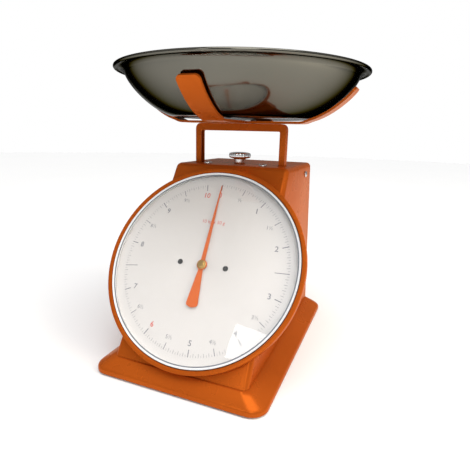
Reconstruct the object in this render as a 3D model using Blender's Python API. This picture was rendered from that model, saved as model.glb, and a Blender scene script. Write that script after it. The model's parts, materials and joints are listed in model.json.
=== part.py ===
"""Counter dial spring scale with a lift-off bowl, built as an assembly of separate pieces.

Units are metres, +Z is up and -Y is the side of the dial. The origin is at the middle of the
bounding box, on the surface that the scale stands on. Nested and touching pieces keep GAP.
"""
import bpy
import bmesh
from math import atan2, cos, hypot, pi, radians, sin, tan
from mathutils import Matrix, Vector

MM = 0.001
GAP = 0.3 * MM

# Overall layout
TILT = radians(32.5)                # the dial and the housing's front lean back by this much
LOAD_Y = 12.5 * MM                  # the bowl, the load bracket and the zero knob share this line
BASE_HALF_W = 90 * MM
BASE_FRONT = -147.5 * MM
BASE_BACK = 108.5 * MM
BASE_TOP = 16.5 * MM
HOUSING_TOP = 200 * MM
HOUSING_HALF_TOP = 66 * MM
HOUSING_HALF_BOTTOM = 71 * MM
HOUSING_FRONT = -134.8 * MM         # at the foot of the front face
HOUSING_BACK_TOP = 88.5 * MM
HOUSING_BACK_BOTTOM = 94.5 * MM
SHEET = 1.5 * MM
TOP_SCREW_X = 33 * MM
TOP_SCREW_Y = -2.5 * MM

# Dial, measured along its own axis from the front of the lens
DIAL_Y = -86.5 * MM
DIAL_Z = 109 * MM
LENS_R = 100.8 * MM
PAN_INNER_R = 101.5 * MM
PAN_OUTER_R = 104.6 * MM
FACE_R = 98.6 * MM
PAN_BACK = -8.9 * MM
FACE_FRONT = -6.6 * MM
FACE_BACK = -7.4 * MM
DIAL_SCREW_X = 25 * MM
POINTER_HUB_R = 5 * MM
NEEDLE_TIP = 87 * MM                # from the pointer's axis to its tip
TAIL_END = 43 * MM                  # from the axis to the end of the balancing tail
PLATE_FRONT = -14 * MM              # front face of the mechanism frame's dial plate
PLATE_T = 2 * MM
PINION_W = -32 * MM

# Load side
PINION_TEETH = 10
PINION_R = 3 * MM                   # pitch radius
BRACKET_HALF_W = 54 * MM
BRACKET_TOP = 244.5 * MM
BRACKET_FOOT = 84 * MM
BRACKET_DEPTH = 10 * MM
LEG_W = 6.5 * MM
BAR_H = 8 * MM
SPRING_X = 28 * MM
SPRING_BOTTOM = 92.3 * MM
SPRING_TOP = 179.7 * MM

KNOB_R = 12.5 * MM

# Parallel guide levers
LEVER_LEN = 50 * MM
LEVER_PIVOT_Y = LOAD_Y + LEVER_LEN
LEVER_PIVOTS = {"upper": 152.25 * MM, "lower": 102.25 * MM}
LEVER_RISE = 7.75 * MM              # how far the load end stands above the pivot at rest
LEVER_X = 40 * MM

# Bowl and its carrier
BOWL_R = 135 * MM
BOWL_BOTTOM = 249.9 * MM
BOWL_WALL_R = 124.5 * MM
BOWL_WALL_Z = 292 * MM
BOWL_FLAT_R = 75 * MM
BOWL_T = 1 * MM
ARM_WIDTH = 23 * MM
ARM_T = 2.3 * MM
CARRIER_BOTTOM = BRACKET_TOP + GAP

ROUND_BIG = 48                      # segments of the dial and the bowl
ROUND_MID = 20
ROUND_SMALL = 10


# ---------------------------------------------------------------- helpers

def clear_scene():
    for obj in list(bpy.data.objects):
        bpy.data.objects.remove(obj, do_unlink=True)


def make_material(name, colour, roughness, metallic):
    mat = bpy.data.materials.new(name)
    mat.use_nodes = True
    shader = mat.node_tree.nodes["Principled BSDF"]
    shader.inputs["Base Color"].default_value = (*colour, 1)
    shader.inputs["Roughness"].default_value = roughness
    shader.inputs["Metallic"].default_value = metallic
    mat.diffuse_color = (*colour, 1)
    return mat


FINISHES = {
    "orange_paint": ((0.72, 0.17, 0.02), 0.3, 0.0),
    "stainless": ((0.62, 0.62, 0.6), 0.15, 1.0),
    "chrome": ((0.8, 0.8, 0.82), 0.08, 1.0),
    "zinc": ((0.55, 0.56, 0.58), 0.4, 1.0),
    "spring_steel": ((0.35, 0.36, 0.38), 0.35, 1.0),
    "brass": ((0.75, 0.55, 0.2), 0.3, 1.0),
    "dial_white": ((0.85, 0.84, 0.8), 0.5, 0.0),
    "pointer_red": ((0.75, 0.12, 0.03), 0.4, 0.0),
    "clear_plastic": ((0.9, 0.93, 0.95), 0.05, 0.0),
    "ring_white": ((0.85, 0.87, 0.88), 0.35, 0.0),
    "dark_steel": ((0.08, 0.08, 0.09), 0.4, 1.0),
    "rubber": ((0.02, 0.02, 0.02), 0.8, 0.0),
}


def add_empty(name, location, rotation_x=0.0):
    empty = bpy.data.objects.new(name, None)
    empty.location = location
    empty.rotation_euler = (rotation_x, 0, 0)
    bpy.context.scene.collection.objects.link(empty)
    return empty


def add_object(name, bm, finish, parent=None, smooth=False):
    """Turn a bmesh into a named object with its own material."""
    bmesh.ops.remove_doubles(bm, verts=bm.verts, dist=1e-6)
    bmesh.ops.recalc_face_normals(bm, faces=bm.faces)
    mesh = bpy.data.meshes.new(name)
    bm.to_mesh(mesh)
    bm.free()
    obj = bpy.data.objects.new(name, mesh)
    bpy.context.scene.collection.objects.link(obj)
    if finish:
        mesh.materials.append(make_material(name + "_" + finish, *FINISHES[finish]))
    if smooth:
        mesh.shade_smooth()
        mesh.set_sharp_from_angle(angle=radians(35))
    obj.parent = parent
    return obj


def add_boolean(obj, bm, operation="DIFFERENCE", parent=None):
    """Combine obj with a hidden helper made from bm."""
    number = len(obj.modifiers) + 1
    helper = add_object(f"{obj.name}_helper_{number}", bm, None, parent)
    helper.hide_render = True
    helper.display_type = "WIRE"
    modifier = obj.modifiers.new(f"{operation.lower()}_{number}", "BOOLEAN")
    modifier.operation = operation
    modifier.solver = "EXACT"
    modifier.object = helper
    return obj


def join(*parts):
    """Put several bmeshes into the first one."""
    first = parts[0]
    for other in parts[1:]:
        mesh = bpy.data.meshes.new("joined")
        other.to_mesh(mesh)
        other.free()
        first.from_mesh(mesh)
        bpy.data.meshes.remove(mesh)
    return first


def lathe(profile, segments):
    """Turn a closed (radius, height) outline about Z. Points at radius 0 become poles."""
    bm = bmesh.new()
    verts = [bm.verts.new((r, 0, z)) for r, z in profile]
    on_axis = [abs(r) < 1e-9 for r, z in profile]
    edges = []
    for i, vert in enumerate(verts):
        j = (i + 1) % len(verts)
        if not (on_axis[i] and on_axis[j]):
            edges.append(bm.edges.new((vert, verts[j])))
    bmesh.ops.spin(bm, geom=verts + edges, cent=(0, 0, 0), axis=(0, 0, 1),
                   angle=2 * pi, steps=segments, use_merge=True)
    bmesh.ops.remove_doubles(bm, verts=bm.verts, dist=1e-6)
    bmesh.ops.dissolve_degenerate(bm, dist=1e-7, edges=bm.edges)
    return bm


def cylinder(radius, low, high, segments=ROUND_SMALL, x=0.0, y=0.0):
    bm = lathe([(0, low), (radius, low), (radius, high), (0, high)], segments)
    bmesh.ops.translate(bm, verts=bm.verts, vec=(x, y, 0))
    return bm


def tube(inner, outer, low, high, segments=ROUND_SMALL):
    return lathe([(inner, low), (outer, low), (outer, high), (inner, high)], segments)


def box(x0, x1, y0, y1, z0, z1):
    bm = bmesh.new()
    bmesh.ops.create_cube(bm, size=1)
    bmesh.ops.scale(bm, verts=bm.verts, vec=(x1 - x0, y1 - y0, z1 - z0))
    centre = ((x0 + x1) / 2, (y0 + y1) / 2, (z0 + z1) / 2)
    bmesh.ops.translate(bm, verts=bm.verts, vec=centre)
    return bm


def prism(outline, low, high, axis="Z"):
    """Extrude a flat outline. The outline's two numbers are the axes that are left, in order."""
    bm = bmesh.new()
    place = {"Z": lambda a, b, c: (a, b, c),
             "X": lambda a, b, c: (c, a, b),
             "Y": lambda a, b, c: (a, c, b)}[axis]
    face = bm.faces.new([bm.verts.new(place(a, b, low)) for a, b in outline])
    result = bmesh.ops.extrude_face_region(bm, geom=[face])
    moved = [v for v in result["geom"] if isinstance(v, bmesh.types.BMVert)]
    shift = Vector(place(0, 0, high)) - Vector(place(0, 0, low))
    bmesh.ops.translate(bm, verts=moved, vec=shift)
    return bm


def loft(rings):
    """Bridge rings with the same number of points and close both ends."""
    bm = bmesh.new()
    loops = [[bm.verts.new(point) for point in ring] for ring in rings]
    count = len(loops[0])
    for lower, upper in zip(loops, loops[1:]):
        for i in range(count):
            j = (i + 1) % count
            bm.faces.new((lower[i], lower[j], upper[j], upper[i]))
    bm.faces.new(loops[0])
    bm.faces.new(loops[-1])
    return bm


def arc(centre, radius, start, end, steps):
    """Points on an arc, from start to end in degrees, both included."""
    points = []
    for i in range(steps + 1):
        angle = radians(start + (end - start) * i / steps)
        points.append((centre[0] + radius * cos(angle), centre[1] + radius * sin(angle)))
    return points


def rounded_rectangle(x0, x1, y0, y1, radius, steps=5):
    return (arc((x1 - radius, y1 - radius), radius, 0, 90, steps)
            + arc((x0 + radius, y1 - radius), radius, 90, 180, steps)
            + arc((x0 + radius, y0 + radius), radius, 180, 270, steps)
            + arc((x1 - radius, y0 + radius), radius, 270, 360, steps))


def slot_outline(length, radius, steps=6):
    """A slot along the first axis, centred on the origin, of this length between its arcs."""
    return (arc((length / 2, 0), radius, -90, 90, steps)
            + arc((-length / 2, 0), radius, 90, 270, steps))


def strip_outline(path, thickness):
    """The closed outline of a bent strip: the path, and the same path moved to its left."""
    points = [Vector(p) for p in path]
    offset = []
    for i, point in enumerate(points):
        before = (points[i] - points[i - 1]).normalized() if i > 0 else None
        after = (points[i + 1] - points[i]).normalized() if i < len(points) - 1 else None
        before = before or after
        after = after or before
        normal = (Vector((-before.y, before.x)) + Vector((-after.y, after.x))).normalized()
        stretch = thickness / max(0.2, normal.dot(Vector((-after.y, after.x))))
        offset.append(point + normal * stretch)
    return [tuple(p) for p in points] + [tuple(p) for p in reversed(offset)]


def turned(bm, axis, angle, location=(0, 0, 0)):
    """Turn a bmesh about the origin and then move it."""
    bmesh.ops.rotate(bm, verts=bm.verts, cent=(0, 0, 0), matrix=Matrix.Rotation(angle, 3, axis))
    bmesh.ops.translate(bm, verts=bm.verts, vec=location)
    return bm


def screw_profile(head_r, head_h, shank_r, shank_len):
    """A round-headed screw: the head's underside is at 0 and the shank points to -Z."""
    dome = [(head_r * cos(a), head_h * (0.45 + 0.55 * sin(a)))
            for a in (0, radians(50))]
    return [(0, -shank_len), (shank_r, -shank_len), (shank_r, 0), (head_r, 0)] + dome + [(0, head_h)]


def add_screw(name, finish, location, direction, head_r, head_h, shank_r, shank_len, parent=None):
    """A screw whose head faces along direction."""
    bm = lathe(screw_profile(head_r, head_h, shank_r, shank_len), ROUND_SMALL)
    turn = Vector((0, 0, 1)).rotation_difference(Vector(direction)).to_matrix()
    bmesh.ops.rotate(bm, verts=bm.verts, cent=(0, 0, 0), matrix=turn)
    obj = add_object(name, bm, finish, parent, smooth=True)
    obj.location = location
    return obj


SIDES = {"left": -1, "right": 1}


# ---------------------------------------------------------------- base

def build_base():
    """A pressed tray with its open side down, a plate that closes it, and four rubber feet."""
    rim_z = 2 * MM
    wall = SHEET
    # (inset from the outer edge at the sides, at the front, at the back, height, corner radius)
    steps = [(0, 0, 0, rim_z, 16), (0, 0, 0, 5.5 * MM, 16), (1, 0.9, 0.9, 7.2 * MM, 15.5),
             (8, 6, 6, 11.5 * MM, 13), (17, 11, 11.5, BASE_TOP, 9)]

    def ring(step, shrink, drop):
        side, front, back, height, radius = step
        outline = rounded_rectangle(-BASE_HALF_W + side * MM + shrink, BASE_HALF_W - side * MM - shrink,
                                    BASE_FRONT + front * MM + shrink, BASE_BACK - back * MM - shrink,
                                    radius * MM - shrink)
        return [(x, y, height - drop) for x, y in outline]

    outer = [ring(step, 0, 0) for step in steps]
    inner = [ring(steps[0], wall, 0)] + [ring(step, wall, wall) for step in steps[2:]]
    obj = add_object("base_plate", loft(list(reversed(inner)) + outer), "orange_paint", smooth=True)
    for x in (-20 * MM, 20 * MM):
        add_boolean(obj, cylinder(2.1 * MM, 0, 30 * MM, x=x, y=45 * MM))

    low, high = 3.2 * MM, 4.4 * MM
    edge = 2 * SHEET
    outline = rounded_rectangle(-BASE_HALF_W + edge, BASE_HALF_W - edge,
                                BASE_FRONT + edge, BASE_BACK - edge, 13 * MM)
    plate = add_object("bottom_plate", prism(outline, low, high), "zinc")
    foot_profile = [(0, 0), (8 * MM, 0), (9 * MM, 1 * MM), (9 * MM, low - GAP), (2.7 * MM, low - GAP),
                    (2.7 * MM, 6.5 * MM), (0, 6.5 * MM)]
    for row, y in (("front", BASE_FRONT + 22 * MM), ("rear", BASE_BACK - 22 * MM)):
        for side, sign in SIDES.items():
            x = sign * (BASE_HALF_W - 22 * MM)
            add_boolean(plate, cylinder(2.7 * MM + GAP, 0, 10 * MM, x=x, y=y))
            foot = add_object(f"foot_{row}_{side}", lathe(foot_profile, 16), "rubber", smooth=True)
            foot.location = (x, y, 0)


# ---------------------------------------------------------------- housing

def housing_half_width(z):
    share = (z - BASE_TOP) / (HOUSING_TOP - BASE_TOP)
    return HOUSING_HALF_BOTTOM + (HOUSING_HALF_TOP - HOUSING_HALF_BOTTOM) * share


def housing_back(z):
    share = (z - BASE_TOP) / (HOUSING_TOP - BASE_TOP)
    return HOUSING_BACK_BOTTOM + (HOUSING_BACK_TOP - HOUSING_BACK_BOTTOM) * share


def housing_front(z):
    return HOUSING_FRONT + (z - BASE_TOP) * tan(TILT)


def build_housing(dial):
    """One bent and welded sheet: sloping front, two sides and a top. Its back and foot are open."""
    z0, z1 = BASE_TOP - 2 * SHEET, HOUSING_TOP      # the foot is trimmed level further down
    bm = bmesh.new()
    corners = {}
    for sign in (-1, 1):
        corners[sign, "front_low"] = bm.verts.new((sign * housing_half_width(z0), housing_front(z0), z0))
        corners[sign, "back_low"] = bm.verts.new((sign * housing_half_width(z0), housing_back(z0), z0))
        corners[sign, "front_top"] = bm.verts.new((sign * housing_half_width(z1), housing_front(z1), z1))
        corners[sign, "back_top"] = bm.verts.new((sign * housing_half_width(z1), housing_back(z1), z1))
    order = ("front_low", "back_low", "back_top", "front_top")
    for sign in (-1, 1):
        bm.faces.new([corners[sign, key] for key in order])
    for low, high in (("front_low", "front_top"), ("front_top", "back_top")):
        bm.faces.new((corners[-1, low], corners[1, low], corners[1, high], corners[-1, high]))
    bmesh.ops.recalc_face_normals(bm, faces=bm.faces)
    if sum(face.normal.z for face in bm.faces) < 0:
        bmesh.ops.reverse_faces(bm, faces=bm.faces)

    def soften(pairs, width, segments):
        edges = [e for e in bm.edges if {v.index for v in e.verts} in pairs]
        bmesh.ops.bevel(bm, geom=edges, offset=width, affect="EDGES", segments=segments,
                        profile=0.5, material=-1)

    bm.verts.index_update()
    index = {key: vert.index for key, vert in corners.items()}
    top_edges = [{index[-1, "front_top"], index[1, "front_top"]}]
    for sign in (-1, 1):
        top_edges.append({index[sign, "front_top"], index[sign, "back_top"]})
        top_edges.append({index[sign, "front_low"], index[sign, "front_top"]})
    soften(top_edges, 5 * MM, 4)

    mesh = bpy.data.meshes.new("housing")
    bm.to_mesh(mesh)
    bm.free()
    obj = bpy.data.objects.new("housing", mesh)
    bpy.context.scene.collection.objects.link(obj)
    mesh.materials.append(make_material("housing_paint", *FINISHES["orange_paint"]))
    mesh.shade_smooth()
    mesh.set_sharp_from_angle(angle=radians(35))
    solid = obj.modifiers.new("sheet", "SOLIDIFY")
    solid.thickness = SHEET
    solid.offset = -1
    solid.use_even_offset = True
    add_boolean(obj, box(-0.1, 0.1, -0.2, 0.2, 0, BASE_TOP + GAP))

    for sign in (-1, 1):
        x = sign * (BRACKET_HALF_W - LEG_W / 2)
        wide, deep = LEG_W / 2 + 1.5 * MM, BRACKET_DEPTH / 2 + 1.5 * MM
        add_boolean(obj, box(x - wide, x + wide, LOAD_Y - deep, LOAD_Y + deep, z1 - 6 * MM, z1 + 6 * MM))
        add_boolean(obj, cylinder(2 * MM, z1 - 6 * MM, z1 + 6 * MM, x=sign * TOP_SCREW_X, y=TOP_SCREW_Y))
    add_boolean(obj, cylinder(3.5 * MM, z1 - 6 * MM, z1 + 6 * MM, ROUND_SMALL, 0, LOAD_Y))
    add_boolean(obj, cylinder(50 * MM, -20 * MM, 0, 32), parent=dial)
    for z in (45 * MM, 188 * MM):
        rod = turned(cylinder(1.9 * MM, -100 * MM, 100 * MM), "Y", pi / 2, (0, 60.5 * MM, z))
        add_boolean(obj, rod)


def build_back_cover():
    """A panel with two side flanges, held by four screws through the housing's sides."""
    wall = 1.2 * MM
    flange_front = 50 * MM

    def outline(z, chamfer=0.0):
        half = housing_half_width(z) - SHEET - GAP - 0.2 * MM - chamfer
        back = housing_back(z)
        outer = [(-half, flange_front), (-half, back), (half, back), (half, flange_front)]
        inner = [(half - wall, flange_front), (half - wall, back - wall),
                 (-half + wall, back - wall), (-half + wall, flange_front)]
        return [(x, y, z) for x, y in outer + inner]

    top, chamfer = HOUSING_TOP - SHEET - GAP, 4 * MM
    rings = [outline(BASE_TOP + 2 * GAP), outline(top - chamfer), outline(top, chamfer)]
    obj = add_object("back_cover", loft(rings), "orange_paint")
    heights = {"top": 188 * MM, "bottom": 45 * MM}
    for z in heights.values():
        rod = turned(cylinder(1.8 * MM, -100 * MM, 100 * MM), "Y", pi / 2, (0, 60.5 * MM, z))
        add_boolean(obj, rod)
    for row, z in heights.items():
        for side, sign in SIDES.items():
            place = (sign * (housing_half_width(z) + GAP + 0.1 * MM), 60.5 * MM, z)
            add_screw(f"cover_screw_{side}_{row}", "orange_paint", place, (sign, 0, 0),
                      3.6 * MM, 2 * MM, 1.5 * MM, 7 * MM)


# ---------------------------------------------------------------- mechanism frame

def dial_to_world(v, w):
    """World (y, z) of a point v up the dial's slope and w in front of the lens plane."""
    return (DIAL_Y + v * sin(TILT) - w * cos(TILT), DIAL_Z + v * cos(TILT) + w * sin(TILT))


def build_frame(dial):
    """One bent strip: foot, rear upright, top flange and the dial plate, with ears for shafts."""
    half = 36 * MM
    foot_top = BASE_TOP + GAP + PLATE_T
    top = HOUSING_TOP - SHEET - GAP
    rear = 68 * MM
    plate_top = (top - DIAL_Z - PLATE_FRONT * sin(TILT)) / cos(TILT)
    path = [(30 * MM, foot_top - PLATE_T), (rear, foot_top - PLATE_T), (rear, top),
            dial_to_world(plate_top, PLATE_FRONT), dial_to_world(-34 * MM, PLATE_FRONT)]
    obj = add_object("mechanism_frame", prism(strip_outline(path, PLATE_T), -half, half, "X"), "zinc")
    for pivot_z in LEVER_PIVOTS.values():
        for sign in (-1, 1):
            x = sign * (half - 1.3 * MM)
            ear = box(x - 1 * MM, x + 1 * MM, LEVER_PIVOT_Y - 5 * MM, rear - 1 * MM,
                      pivot_z - 6 * MM, pivot_z + 6 * MM)
            add_boolean(obj, ear, "UNION")
    for pivot_z in LEVER_PIVOTS.values():
        rod = turned(cylinder(1.8 * MM, -60 * MM, 60 * MM), "Y", pi / 2, (0, LEVER_PIVOT_Y, pivot_z))
        add_boolean(obj, rod)
    add_boolean(obj, cylinder(3.5 * MM, top - 8 * MM, top + 4 * MM, ROUND_SMALL, 0, LOAD_Y))
    for sign in (-1, 1):
        add_boolean(obj, cylinder(1.8 * MM, top - 8 * MM, top + 4 * MM, x=sign * TOP_SCREW_X, y=TOP_SCREW_Y))
        add_boolean(obj, cylinder(2.1 * MM, 10 * MM, 30 * MM, x=sign * 20 * MM, y=45 * MM))
        add_boolean(obj, cylinder(1.9 * MM, PLATE_FRONT - 6 * MM, PLATE_FRONT + 4 * MM,
                                  x=sign * DIAL_SCREW_X), parent=dial)
    add_boolean(obj, cylinder(3.8 * MM, PLATE_FRONT - 6 * MM, PLATE_FRONT + 4 * MM, 16), parent=dial)

    for side, sign in SIDES.items():
        add_screw(f"top_screw_{side}", "orange_paint", (sign * TOP_SCREW_X, TOP_SCREW_Y, HOUSING_TOP + GAP),
                  (0, 0, 1), 4.4 * MM, 2.1 * MM, 1.5 * MM, 10 * MM)
        add_screw(f"frame_screw_{side}", "zinc", (sign * 20 * MM, 45 * MM, BASE_TOP - SHEET - GAP),
                  (0, 0, -1), 3.8 * MM, 2.2 * MM, 1.7 * MM, 9 * MM)
    for name, pivot_z in LEVER_PIVOTS.items():
        rod = turned(cylinder(1.5 * MM, -43 * MM, 43 * MM), "Y", pi / 2)
        shaft = add_object(f"{name}_lever_shaft", rod, "zinc", smooth=True)
        shaft.location = (0, LEVER_PIVOT_Y, pivot_z)


# ---------------------------------------------------------------- dial

def build_dial(dial):
    """Pan, printed face, clear lens and its retaining ring, all round the dial's axis."""
    corner = 4 * MM
    pan = [(8 * MM, PAN_BACK)]
    pan += arc((PAN_OUTER_R - corner, PAN_BACK + corner), corner, -90, 0, 3)
    pan += [(PAN_OUTER_R, -0.7 * MM), (PAN_OUTER_R - 0.7 * MM, 0.4 * MM), (PAN_INNER_R + 0.6 * MM, 0.4 * MM),
            (PAN_INNER_R, -0.4 * MM), (PAN_INNER_R, -5.5 * MM), (FACE_R + 1 * MM, PAN_BACK + 1.2 * MM),
            (8 * MM, PAN_BACK + 1.2 * MM)]
    obj = add_object("dial_pan", lathe(pan, ROUND_BIG), "orange_paint", dial, smooth=True)
    face_outline = [(4 * MM, FACE_BACK), (FACE_R, FACE_BACK), (FACE_R, FACE_FRONT), (4 * MM, FACE_FRONT)]
    face = add_object("dial_face", lathe(face_outline, ROUND_BIG), "dial_white", dial)
    for sign in (-1, 1):
        for target in (obj, face):
            add_boolean(target, cylinder(1.9 * MM, PAN_BACK - 2 * MM, 0, x=sign * DIAL_SCREW_X), parent=dial)

    lens = [(0, -2.2 * MM), (LENS_R - 2.2 * MM, -2.2 * MM), (LENS_R - 1.7 * MM, -6.2 * MM),
            (LENS_R - 0.4 * MM, -6.2 * MM), (LENS_R, -5.4 * MM), (LENS_R, -1.2 * MM),
            (LENS_R - 0.7 * MM, -1 * MM), (0, -1 * MM)]
    add_object("dial_lens", lathe(lens, ROUND_BIG), "clear_plastic", dial, smooth=True)
    ring_in, ring_out = PAN_INNER_R - 3.9 * MM, PAN_INNER_R - GAP
    ring = [(ring_in, -0.7 * MM), (ring_out, -0.7 * MM), (ring_out, 0), (ring_out - 0.6 * MM, 0.5 * MM),
            (ring_in + 0.6 * MM, 0.5 * MM), (ring_in, 0)]
    add_object("lens_ring", lathe(ring, ROUND_BIG), "ring_white", dial, smooth=True)

    for side, sign in SIDES.items():
        x = sign * DIAL_SCREW_X
        add_screw(f"dial_screw_{side}", "dark_steel", (x, 0, FACE_FRONT + GAP), (0, 0, 1),
                  3.2 * MM, 0.8 * MM, 1.5 * MM, 14 * MM, dial)
        spacer = tube(1.8 * MM, 4 * MM, PLATE_FRONT + GAP, PAN_BACK - GAP)
        add_object(f"dial_spacer_{side}", spacer, "brass", dial, smooth=True).location = (x, 0, 0)


def build_bearings(dial):
    """The bridge behind the dial plate, the two bushes of the pointer shaft and the rack guide."""
    plate_back = PLATE_FRONT - PLATE_T
    web = PINION_W - 8 * MM
    path = [(-31 * MM, plate_back - GAP), (-20 * MM, plate_back - GAP), (-20 * MM, web + PLATE_T),
            (20 * MM, web + PLATE_T), (20 * MM, plate_back - GAP), (31 * MM, plate_back - GAP)]
    outline = strip_outline(list(reversed(path)), PLATE_T)
    bridge = prism(outline, -8 * MM, 8 * MM, "Y")
    obj = add_object("bearing_bridge", bridge, "zinc", dial)
    for sign in (-1, 1):
        add_boolean(obj, cylinder(1.9 * MM, plate_back - 6 * MM, plate_back + 2 * MM,
                                  x=sign * DIAL_SCREW_X), parent=dial)
    add_boolean(obj, cylinder(3.8 * MM, web - 4 * MM, web + 5 * MM, 16), parent=dial)

    def bush(flange_low, flange_high, body_low, body_high):
        """Flange at the higher end."""
        return lathe([(1.5 * MM, body_low), (3.5 * MM, body_low), (3.5 * MM, flange_low),
                      (5 * MM, flange_low), (5 * MM, flange_high), (1.5 * MM, flange_high)], 16)

    front = bush(PLATE_FRONT + GAP, PLATE_FRONT + 1.5 * MM, plate_back - 1 * MM, PLATE_FRONT)
    add_object("front_bush", front, "brass", dial, smooth=True)
    rear = bush(web + PLATE_T + GAP, web + PLATE_T + 1.3 * MM, web - 1 * MM, web)
    add_object("rear_bush", rear, "brass", dial, smooth=True)

    wall_x = 7.3 * MM
    foot_w = web + PLATE_T + GAP
    guide = [(wall_x, foot_w), (18 * MM, foot_w), (18 * MM, foot_w + 1.5 * MM),
             (wall_x + 1.5 * MM, foot_w + 1.5 * MM), (wall_x + 1.5 * MM, PINION_W + 4 * MM),
             (wall_x, PINION_W + 4 * MM)]
    add_object("rack_guide", prism(guide, -4 * MM, 4 * MM, "Y"), "brass", dial)


def tooth_row(pitch, count, start, root, tip):
    """(across, along) points of straight-sided rack teeth, thinned to run free."""
    points = []
    for i in range(count):
        base = start + i * pitch
        points += [(root, base - 0.34 * pitch), (tip, base - 0.1 * pitch),
                   (tip, base + 0.1 * pitch), (root, base + 0.34 * pitch)]
    return points


def pinion_outline(teeth, radius, pitch):
    """Straight-sided pinion teeth, with the first tooth space facing +X."""
    points = []
    for i in range(teeth):
        middle = 2 * pi * (i + 0.5) / teeth
        for reach, half in ((radius - 0.9 * MM, 0.3), (radius + 0.5 * MM, 0.08),
                            (radius + 0.5 * MM, -0.08), (radius - 0.9 * MM, -0.3)):
            angle = middle - half * pitch / radius
            points.append((reach * cos(angle), reach * sin(angle)))
    return points


def build_pointer(dial):
    """Pointer, its nut, the shaft and the pinion, all on the dial's axis."""
    axis = add_empty("pointer_axis", dial.location)
    axis.rotation_euler = dial.rotation_euler
    needle = [(1.9 * MM, 12 * MM), (1.5 * MM, 50 * MM), (0.2 * MM, NEEDLE_TIP),
              (-0.2 * MM, NEEDLE_TIP), (-1.5 * MM, 50 * MM), (-1.9 * MM, 12 * MM)]
    left = arc((0, 0), POINTER_HUB_R, 112, 240, 6)
    corner = TAIL_END - 1.5 * MM
    tail = [(-6 * MM, -corner), (-4 * MM, -TAIL_END), (4 * MM, -TAIL_END), (6 * MM, -corner)]
    right = arc((0, 0), POINTER_HUB_R, -60, 68, 6)
    outline = needle + left + tail + right
    bm = prism(outline, -5.2 * MM, -4.4 * MM)
    pointer = add_object("pointer", bm, "pointer_red", axis)
    add_boolean(pointer, cylinder(1.5 * MM, -6 * MM, -3 * MM), parent=axis)

    nut = [(0, -2.5 * MM), (2.6 * MM, -2.5 * MM), (4.4 * MM, -3.1 * MM), (4.8 * MM, -4.1 * MM),
           (1.5 * MM, -4.1 * MM), (1.5 * MM, -3 * MM), (0, -3 * MM)]
    add_object("pointer_nut", lathe(nut, 16), "brass", axis, smooth=True)
    shaft = cylinder(1.2 * MM, PINION_W - 10 * MM, -3.3 * MM)
    add_object("pointer_shaft", shaft, "zinc", axis, smooth=True)
    pitch = 2 * pi * PINION_R / PINION_TEETH
    bm = prism(pinion_outline(PINION_TEETH, PINION_R, pitch), PINION_W - 3.5 * MM, PINION_W + 3.5 * MM)
    pinion = add_object("pinion", bm, "brass", axis)
    add_boolean(pinion, cylinder(1.5 * MM, PINION_W - 6 * MM, PINION_W + 6 * MM), parent=axis)
    return pitch


def build_rack(dial, pitch):
    """The toothed rack runs down behind the dial when the load comes down."""
    teeth = 19
    body_x, back_x = PINION_R + 0.6 * MM, PINION_R + 4 * MM
    start = -4 * pitch
    low, high = start - pitch, 56 * MM
    edge = tooth_row(pitch, teeth, start, body_x, PINION_R - 0.6 * MM)
    outline = [(back_x, low), (back_x, high), (body_x, high)] + list(reversed(edge)) + [(body_x, low)]
    bm = prism(outline, PINION_W - 2.5 * MM, PINION_W + 2.5 * MM)
    rack = add_object("rack", bm, "brass", dial)
    pin_v = 52 * MM
    hole = turned(cylinder(1.3 * MM, -20 * MM, 20 * MM), "Y", pi / 2, (0, pin_v, PINION_W))
    add_boolean(rack, hole, parent=dial)
    profile = [(0, 3 * MM), (1 * MM, 3 * MM), (1 * MM, 10 * MM), (2 * MM, 10 * MM), (2 * MM, 11 * MM),
               (0, 11 * MM)]
    bm = turned(lathe(profile, ROUND_SMALL), "Y", pi / 2)
    pin = add_object("rack_pin", bm, "zinc", dial, smooth=True)
    pin.location = (0, pin_v, PINION_W)
    return dial_to_world(pin_v, PINION_W)


# ---------------------------------------------------------------- load side

def build_load_bracket():
    """An inverted U pressed as a channel, open towards the inside of the U."""
    half, top, foot = BRACKET_HALF_W, BRACKET_TOP, BRACKET_FOOT
    bend, wall = 6 * MM, 1.5 * MM
    y0, y1 = LOAD_Y - BRACKET_DEPTH / 2, LOAD_Y + BRACKET_DEPTH / 2

    def u_outline(inset, leg, bar, drop, radius):
        right = [(half - leg, foot - drop), (half - inset, foot - drop)]
        right += arc((half - inset - radius, top - inset - radius), radius, 0, 90, 4)
        left = [(-x, z) for x, z in reversed(right)]
        inside = [(-half + leg, top - bar), (half - leg, top - bar)]
        return right + left + inside

    solid = prism(u_outline(0, LEG_W, BAR_H, 0, bend), y0, y1, "Y")
    obj = add_object("load_bracket", solid, "orange_paint", smooth=True)
    channel = u_outline(wall, LEG_W + 3 * MM, BAR_H + 3 * MM, 5 * MM, bend - wall)
    add_boolean(obj, prism(channel, y0 + wall, y1 - wall, "Y"))
    for sign in (-1, 1):
        add_boolean(obj, cylinder(1.8 * MM, top - 6 * MM, top + 4 * MM, x=sign * 15 * MM, y=LOAD_Y))
        side_hole = turned(cylinder(1.8 * MM, -6 * MM, 6 * MM), "Y", pi / 2, (sign * half, LOAD_Y, 89 * MM))
        add_boolean(obj, side_hole)
        front_hole = turned(cylinder(1.8 * MM, -3 * MM, 3 * MM), "X", pi / 2,
                            (sign * (half - 3.2 * MM), y0, 135.7 * MM))
        add_boolean(obj, front_hole)
        for pivot_z in LEVER_PIVOTS.values():
            pin_hole = turned(cylinder(1.8 * MM, -6 * MM, 6 * MM), "Y", pi / 2,
                              (sign * half, LOAD_Y + GAP, pivot_z + LEVER_RISE))
            add_boolean(obj, pin_hole)


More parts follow.
